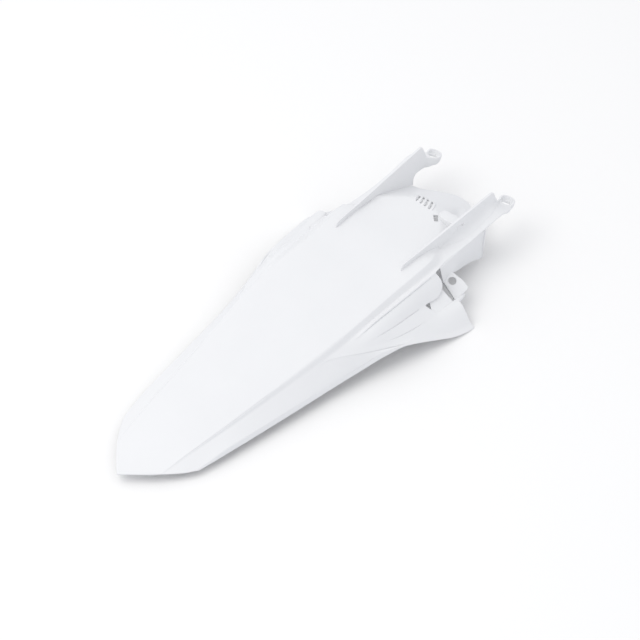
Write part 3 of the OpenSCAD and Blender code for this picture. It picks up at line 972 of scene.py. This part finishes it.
def make_leg():
    """Ruled plate under the flange. The two lines are paired point by point to the shorter's end."""
    pairs = zip(leg_line(LEG_TOP, LEG_CURL_TOP), leg_line(LEG_FOOT, LEG_CURL_FOOT))
    grid = np.array([[mix(top, foot, s / LEG_STEPS) for s in range(LEG_STEPS + 1)]
                     for top, foot in pairs])
    n, m = grid.shape[:2]
    verts = []
    for sign in (-1, 1):
        for i in range(n):
            along = grid[min(i + 1, n - 1)] - grid[max(i - 1, 0)]
            for s in range(m):
                across = unit(np.array([-along[s, 1], along[s, 0], 0]))
                verts.append(grid[i, s] + sign * LEG_THICKNESS / 2 * across)
    o = n * m
    faces = []
    for i in range(n - 1):
        for s in range(LEG_STEPS):
            a, b, c, d = i * m + s, i * m + s + 1, (i + 1) * m + s + 1, (i + 1) * m + s
            faces.append([a, b, c, d])
            faces.append([o + a, o + d, o + c, o + b])
        for a in (i * m, i * m + LEG_STEPS):
            faces.append([a, a + m, o + a + m, o + a])
    for s in range(LEG_STEPS):
        for a in (s, (n - 1) * m + s):
            faces.append([a, a + 1, o + a + 1, o + a])
    mesh = closed_mesh("leg", verts, faces)
    crease_corners(mesh, LEG_CORNER)
    return subdivide(link_object("leg", mesh))


TAB_CENTRE = (139.9, 86, 23.3)
TAB_TURN = (-24.9, -16)
TAB_THICKNESS = 3.4
TAB_BORE = 10.2
TAB_BORE_REACH = 10
TAB_OUTLINE = [(8.5, -8.6), (9.9, 8.7), (7.9, 20.2), (-6, 19.6), (-16, 19), (-8, -8)]
TAB_ROUNDING = [3, 4, 3, 1, 1, 1]


def tab_frame():
    """Where the left side tab sits, with its hole along Z."""
    return local_frame(*TAB_CENTRE, ("Y", TAB_TURN[1]), ("X", TAB_TURN[0]))


def make_tab():
    """Side tab between the leg and the wing flap."""
    return plate("tab", rounded(TAB_OUTLINE, TAB_ROUNDING), -TAB_THICKNESS, 0, tab_frame())


# The two ends of the tab's root, as lowest and highest corner: at the tab and in the flap.
TAB_ROOT_ENDS = (((128, 101.4, 7.4), (143, 104.6, 11.8)), ((114, 105, 12.4), (122, 111, 17.2)))
TAB_ROOT_BEVEL = 0.9


def make_tab_root():
    """Thick outer end of the side tab, rooted in the front corner of the wing flap."""
    bm = bmesh.new()
    for ends in TAB_ROOT_ENDS:
        for x, y, z in itertools.product(*zip(*ends)):
            bm.verts.new((x, y, z))
    hull = bmesh.ops.convex_hull(bm, input=bm.verts)
    loose = [v for v in hull["geom_interior"] if isinstance(v, bmesh.types.BMVert)]
    bmesh.ops.delete(bm, geom=loose, context="VERTS")
    bm.verts.index_update()
    verts = [tuple(v.co) for v in bm.verts]
    faces = [[v.index for v in f.verts] for f in bm.faces]
    bm.free()
    return solid("tab_root", verts, faces, TAB_ROOT_BEVEL)


POCKET_FLOOR = [(96, 86, 29), (117, 86, 31), (119, 106, 17.4), (84, 106, 17.8)]
POCKET_FLOOR_DEPTH = 2.4


def make_pocket_floor():
    """Floor of the pocket between the pod and the wing flap."""
    verts = POCKET_FLOOR + [(x, y, z - POCKET_FLOOR_DEPTH) for x, y, z in POCKET_FLOOR]
    faces = [[0, 1, 2], [0, 2, 3], [7, 6, 5], [7, 5, 4]]
    faces += [[0, 4, 5, 1], [1, 5, 6, 2], [2, 6, 7, 3], [3, 7, 4, 0]]
    return solid("pocket_floor", verts, faces)


SLOT_COUNT = 4
SLOT_PITCH = 6.8
VENT_PLACE = (190.5, 5.2)
VENT_TURN = math.radians(27)
VENT_BOW = 1.7
VENT_BOW_SHIFT = 0.9
VENT_STEPS = 12
SLOT_LENGTH, SLOT_WIDTH = 16, 2.2
SLOT_REACH = (-7, 5)
BAR_LENGTH, BAR_WIDTH, BAR_HEIGHT = 19, 2.4, 1.5
BAR_ROOT = 2
BAR_SINK = 0.2


def sheet_height(x, w):
    """Height of the deck and the apron, where the one turns down into the other."""
    edge = curve(w, PLATEAU_EDGE)
    if x <= edge:
        s = (x - DECK_END) / (edge - DECK_END)
        return mix(deck_height(DECK_END, w), PLATEAU_HEIGHT, s * s)
    rim = two(w, APRON_RIM)
    return mix(PLATEAU_HEIGHT, rim[1], apron_fall((x - edge) / (rim[0] - edge)))


def gill(i, length, width, low, high):
    """Bowed bar or slot of the vent, which lies slantwise over the apron's edge and bends with it.

    low and high give its heights over the sheet at a place from -1 to 1 along its length.
    """
    y0 = (i - (SLOT_COUNT - 1) / 2) * SLOT_PITCH + VENT_PLACE[1]
    path = []
    for t in np.linspace(-1, 1, VENT_STEPS + 1):
        along = t * length / 2
        bow = VENT_BOW * (1 - t * t) - VENT_BOW_SHIFT
        x = VENT_PLACE[0] + along * math.cos(VENT_TURN) + bow * math.sin(VENT_TURN)
        y = y0 + along * math.sin(VENT_TURN) - bow * math.cos(VENT_TURN)
        z = sheet_height(x, abs(y))
        path.append([x, y, z + low, z + high(t)])
    return band(path, width)


def vent_bar(i):
    """Low rounded bar beside a slot. It sinks into the sheet at both ends."""
    return gill(i - 0.5, BAR_LENGTH, BAR_WIDTH, -BAR_ROOT,
                lambda t: mix(-BAR_SINK, BAR_HEIGHT, math.sqrt(1 - t * t)))


def vent_slot(i):
    """Cutter for one slot of the vent."""
    return gill(i, SLOT_LENGTH, SLOT_WIDTH, SLOT_REACH[0], lambda t: SLOT_REACH[1])


CATCH_OUTLINE = [(-10.5, 7), (-4, 13), (4, 11), (6.5, -5), (7, -19), (-7, -19), (-9.5, -5)]
CATCH_ROUNDING = [1.5, 1.5, 1.5, 1, 0, 0, 1.5]
CATCH_FRAME = local_frame(190.5, -35, 55.4, ("Y", 5))
CATCH_HEIGHT = 6
CATCH_ROOT = 8
CATCH_BEVEL = 0.7


def make_catch():
    """Flat seat carried forward from the deck over the apron, beside the right arm."""
    outline = rounded(CATCH_OUTLINE, CATCH_ROUNDING)
    return plate("catch", outline, -CATCH_ROOT, CATCH_HEIGHT, CATCH_FRAME, CATCH_BEVEL)


HOLE_OUTLINE = [(2, 6.6), (6.4, 2), (-2.2, -5.4), (-5.4, -2.2)]
HOLE_ROUNDING = 1
HOLE_FRAME = local_frame(177, -25, 0)
HOLE_HEIGHTS = (50, 66)


def slanted_hole():
    """Small slanted hole beside the catch."""
    return plate("hole", rounded(HOLE_OUTLINE, HOLE_ROUNDING), *HOLE_HEIGHTS, HOLE_FRAME, bevel=0)


OPENING_OUTLINE = [(-7, -9), (8, -9), (6, 13), (-5, 13)]
OPENING_ROUNDING = 4
OPENING_FRAME = local_frame(214, -42, 44, ("Y", 28))
OPENING_REACH = (-14, 6)


def apron_opening():
    """Opening in the apron between the catch and the right arm."""
    outline = rounded(OPENING_OUTLINE, OPENING_ROUNDING)
    return plate("opening", outline, *OPENING_REACH, OPENING_FRAME, bevel=0)


BOSS_PROFILE = [(0, -1), (3, -1), (3, 1.8), (2.4, 2.4), (0, 2.4)]
BOSS_FRAME = local_frame(182, -55.8, 63, ("X", 90))
PIN_RADIUS = 2
PIN_REACH = 6
PIN_FRAME = local_frame(189, -56, 63.6, ("X", 90))


def pin_boss():
    """Low round boss on the outside of the right rib."""
    return tube("boss", BOSS_PROFILE, BOSS_FRAME)


def pin_hole():
    """Small hole through the right rib beside the boss."""
    return rod("pin_hole", PIN_RADIUS, -PIN_REACH, PIN_REACH, PIN_FRAME)


def tab_bore():
    """Hole through the left side tab."""
    return rod("bore", TAB_BORE / 2, -TAB_BORE_REACH, TAB_BORE_REACH, tab_frame())


def eyelet_bore(side):
    """Bore of the left (1) or the right (-1) eyelet."""
    return rod("bore", EYELET_BORE / 2, *EYELET_BORE_REACH, eyelet_frame(side))


SHARP_ANGLE = 38


def make_fender():
    """The moulding: the sheet with its fine lines, then what is joined to it, then what is cut."""
    body = make_skin()
    for line in SEAMS:
        apply_both(body, seam(*line), "DIFFERENCE")
    for maker in (make_rib, make_eyelet, make_leg, make_tab, make_tab_root, make_pocket_floor,
                  make_fillet):
        apply_both(body, maker())
    for i in range(SLOT_COUNT + 1):
        apply_piece(body, vent_bar(i))
    apply_piece(body, make_catch())
    for i in range(SLOT_COUNT):
        apply_piece(body, vent_slot(i), "DIFFERENCE")
    apply_piece(body, slanted_hole(), "DIFFERENCE")
    apply_piece(body, apron_opening(), "DIFFERENCE")
    apply_piece(body, pin_boss())
    apply_piece(body, pin_hole(), "DIFFERENCE")
    apply_both(body, tab_bore(), "DIFFERENCE")
    for side in (1, -1):
        apply_piece(body, eyelet_bore(side), "DIFFERENCE")
    body.name = "rear_fender_moulding"
    body.data.name = "rear_fender_moulding"
    body.data.polygons.foreach_set("use_smooth", [True] * len(body.data.polygons))
    body.data.set_sharp_from_angle(angle=math.radians(SHARP_ANGLE))
    return body


def new_material(name):
    """A material with its nodes, its links and its shader."""
    mat = bpy.data.materials.new(name)
    mat.use_nodes = True
    tree = mat.node_tree
    return mat, tree.nodes, tree.links, tree.nodes["Principled BSDF"]


def ramp(nodes, low, high):
    """A colour ramp between two positions, each given with its colour."""
    node = nodes.new("ShaderNodeValToRGB")
    for element, (position, colour) in zip(node.color_ramp.elements, (low, high)):
        element.position = position
        element.color = (*colour, 1)
    return node


def white_plastic():
    """Satin white polypropylene with the faint, fine grain of a moulded surface."""
    mat, nodes, links, shader = new_material("white_plastic")
    shader.inputs["IOR"].default_value = 1.49
    shader.inputs["Subsurface Weight"].default_value = 0.08
    shader.inputs["Subsurface Radius"].default_value = (0.004, 0.004, 0.004)
    coord = nodes.new("ShaderNodeTexCoord")

    def noise(scale, detail, rough):
        """Even noise in the piece's own space."""
        n = nodes.new("ShaderNodeTexNoise")
        n.inputs["Scale"].default_value = scale
        n.inputs["Detail"].default_value = detail
        n.inputs["Roughness"].default_value = rough
        links.new(coord.outputs["Object"], n.inputs["Vector"])
        return n

    cloud = noise(scale=9, detail=4, rough=0.55)
    tint = ramp(nodes, (0.3, (0.855, 0.859, 0.868)), (0.7, (0.88, 0.883, 0.89)))
    links.new(cloud.outputs["Fac"], tint.inputs["Fac"])
    links.new(tint.outputs["Color"], shader.inputs["Base Color"])
    wear = noise(scale=60, detail=6, rough=0.6)
    gloss = nodes.new("ShaderNodeMapRange")
    gloss.inputs["From Min"].default_value = 0.25
    gloss.inputs["From Max"].default_value = 0.75
    gloss.inputs["To Min"].default_value = 0.34
    gloss.inputs["To Max"].default_value = 0.46
    links.new(wear.outputs["Fac"], gloss.inputs["Value"])
    links.new(gloss.outputs["Result"], shader.inputs["Roughness"])
    grain = noise(scale=1400, detail=3, rough=0.5)
    bump = nodes.new("ShaderNodeBump")
    bump.inputs["Strength"].default_value = 0.12
    bump.inputs["Distance"].default_value = 0.0001
    links.new(grain.outputs["Fac"], bump.inputs["Height"])
    links.new(bump.outputs["Normal"], shader.inputs["Normal"])
    return mat


FLOOR_HALF = 6.0


def make_floor():
    """White paper, brighter to the camera than in the light that it sends back to the part."""
    mat, nodes, links, shader = new_material("floor_paper")
    path = nodes.new("ShaderNodeLightPath")
    shade = ramp(nodes, (0, (0.89, 0.895, 0.91)), (1, (1.0, 0.995, 0.985)))
    links.new(path.outputs["Is Camera Ray"], shade.inputs["Fac"])
    links.new(shade.outputs["Color"], shader.inputs["Base Color"])
    shader.inputs["Roughness"].default_value = 0.9
    shader.inputs["Specular IOR Level"].default_value = 0.1
    s = FLOOR_HALF
    mesh = bpy.data.meshes.new("floor")
    mesh.from_pydata([(-s, -s, 0), (s, -s, 0), (s, s, 0), (-s, s, 0)], [], [[0, 1, 2, 3]])
    mesh.materials.append(mat)
    return link_object("floor", mesh)


KEY_PLACE = Vector((-1.0, 0.5, 2.1))


def make_studio():
    """Bright even surroundings and one large soft light from behind the tail."""
    world = bpy.data.worlds.new("studio")
    bpy.context.scene.world = world
    world.use_nodes = True
    back = world.node_tree.nodes["Background"]
    back.inputs["Color"].default_value = (0.955, 0.967, 1, 1)
    back.inputs["Strength"].default_value = 0.85
    light = bpy.data.lights.new("key", "AREA")
    light.shape = "DISK"
    light.size = 1.8
    light.energy = 15
    light.color = (1, 0.985, 0.95)
    key = link_object("key", light)
    key.location = KEY_PLACE
    key.rotation_mode = "QUATERNION"
    key.rotation_quaternion = (-KEY_PLACE).to_track_quat("-Z", "Y")
    bpy.context.scene.view_settings.view_transform = "Standard"


AZIMUTH, ELEVATION = 46.6, 46.9
DISTANCE = 3.3453
LENS = 157.5


def make_camera():
    """Long lens on the middle of the fender, from behind on the right and from above."""
    a, e = math.radians(AZIMUTH), math.radians(ELEVATION)
    back = Vector((-math.cos(e) * math.sin(a), -math.cos(e) * math.cos(a), math.sin(e)))
    right = Vector((math.cos(a), -math.sin(a), 0))
    up = back.cross(right)
    data = bpy.data.cameras.new("camera")
    data.sensor_width = 36
    data.lens = LENS
    data.clip_start = 0.05
    data.clip_end = 60
    cam = link_object("camera", data)
    turn = Matrix((right, up, back)).transposed().to_4x4()
    cam.matrix_world = Matrix.Translation(Vector(TO_ROW * MM) + back * DISTANCE) @ turn
    bpy.context.scene.camera = cam


fender = make_fender()
fender.data.materials.clear()
fender.data.materials.append(white_plastic())
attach(fender, "root")
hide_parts("rear_fender")
floor = make_floor()
make_studio()
make_camera()
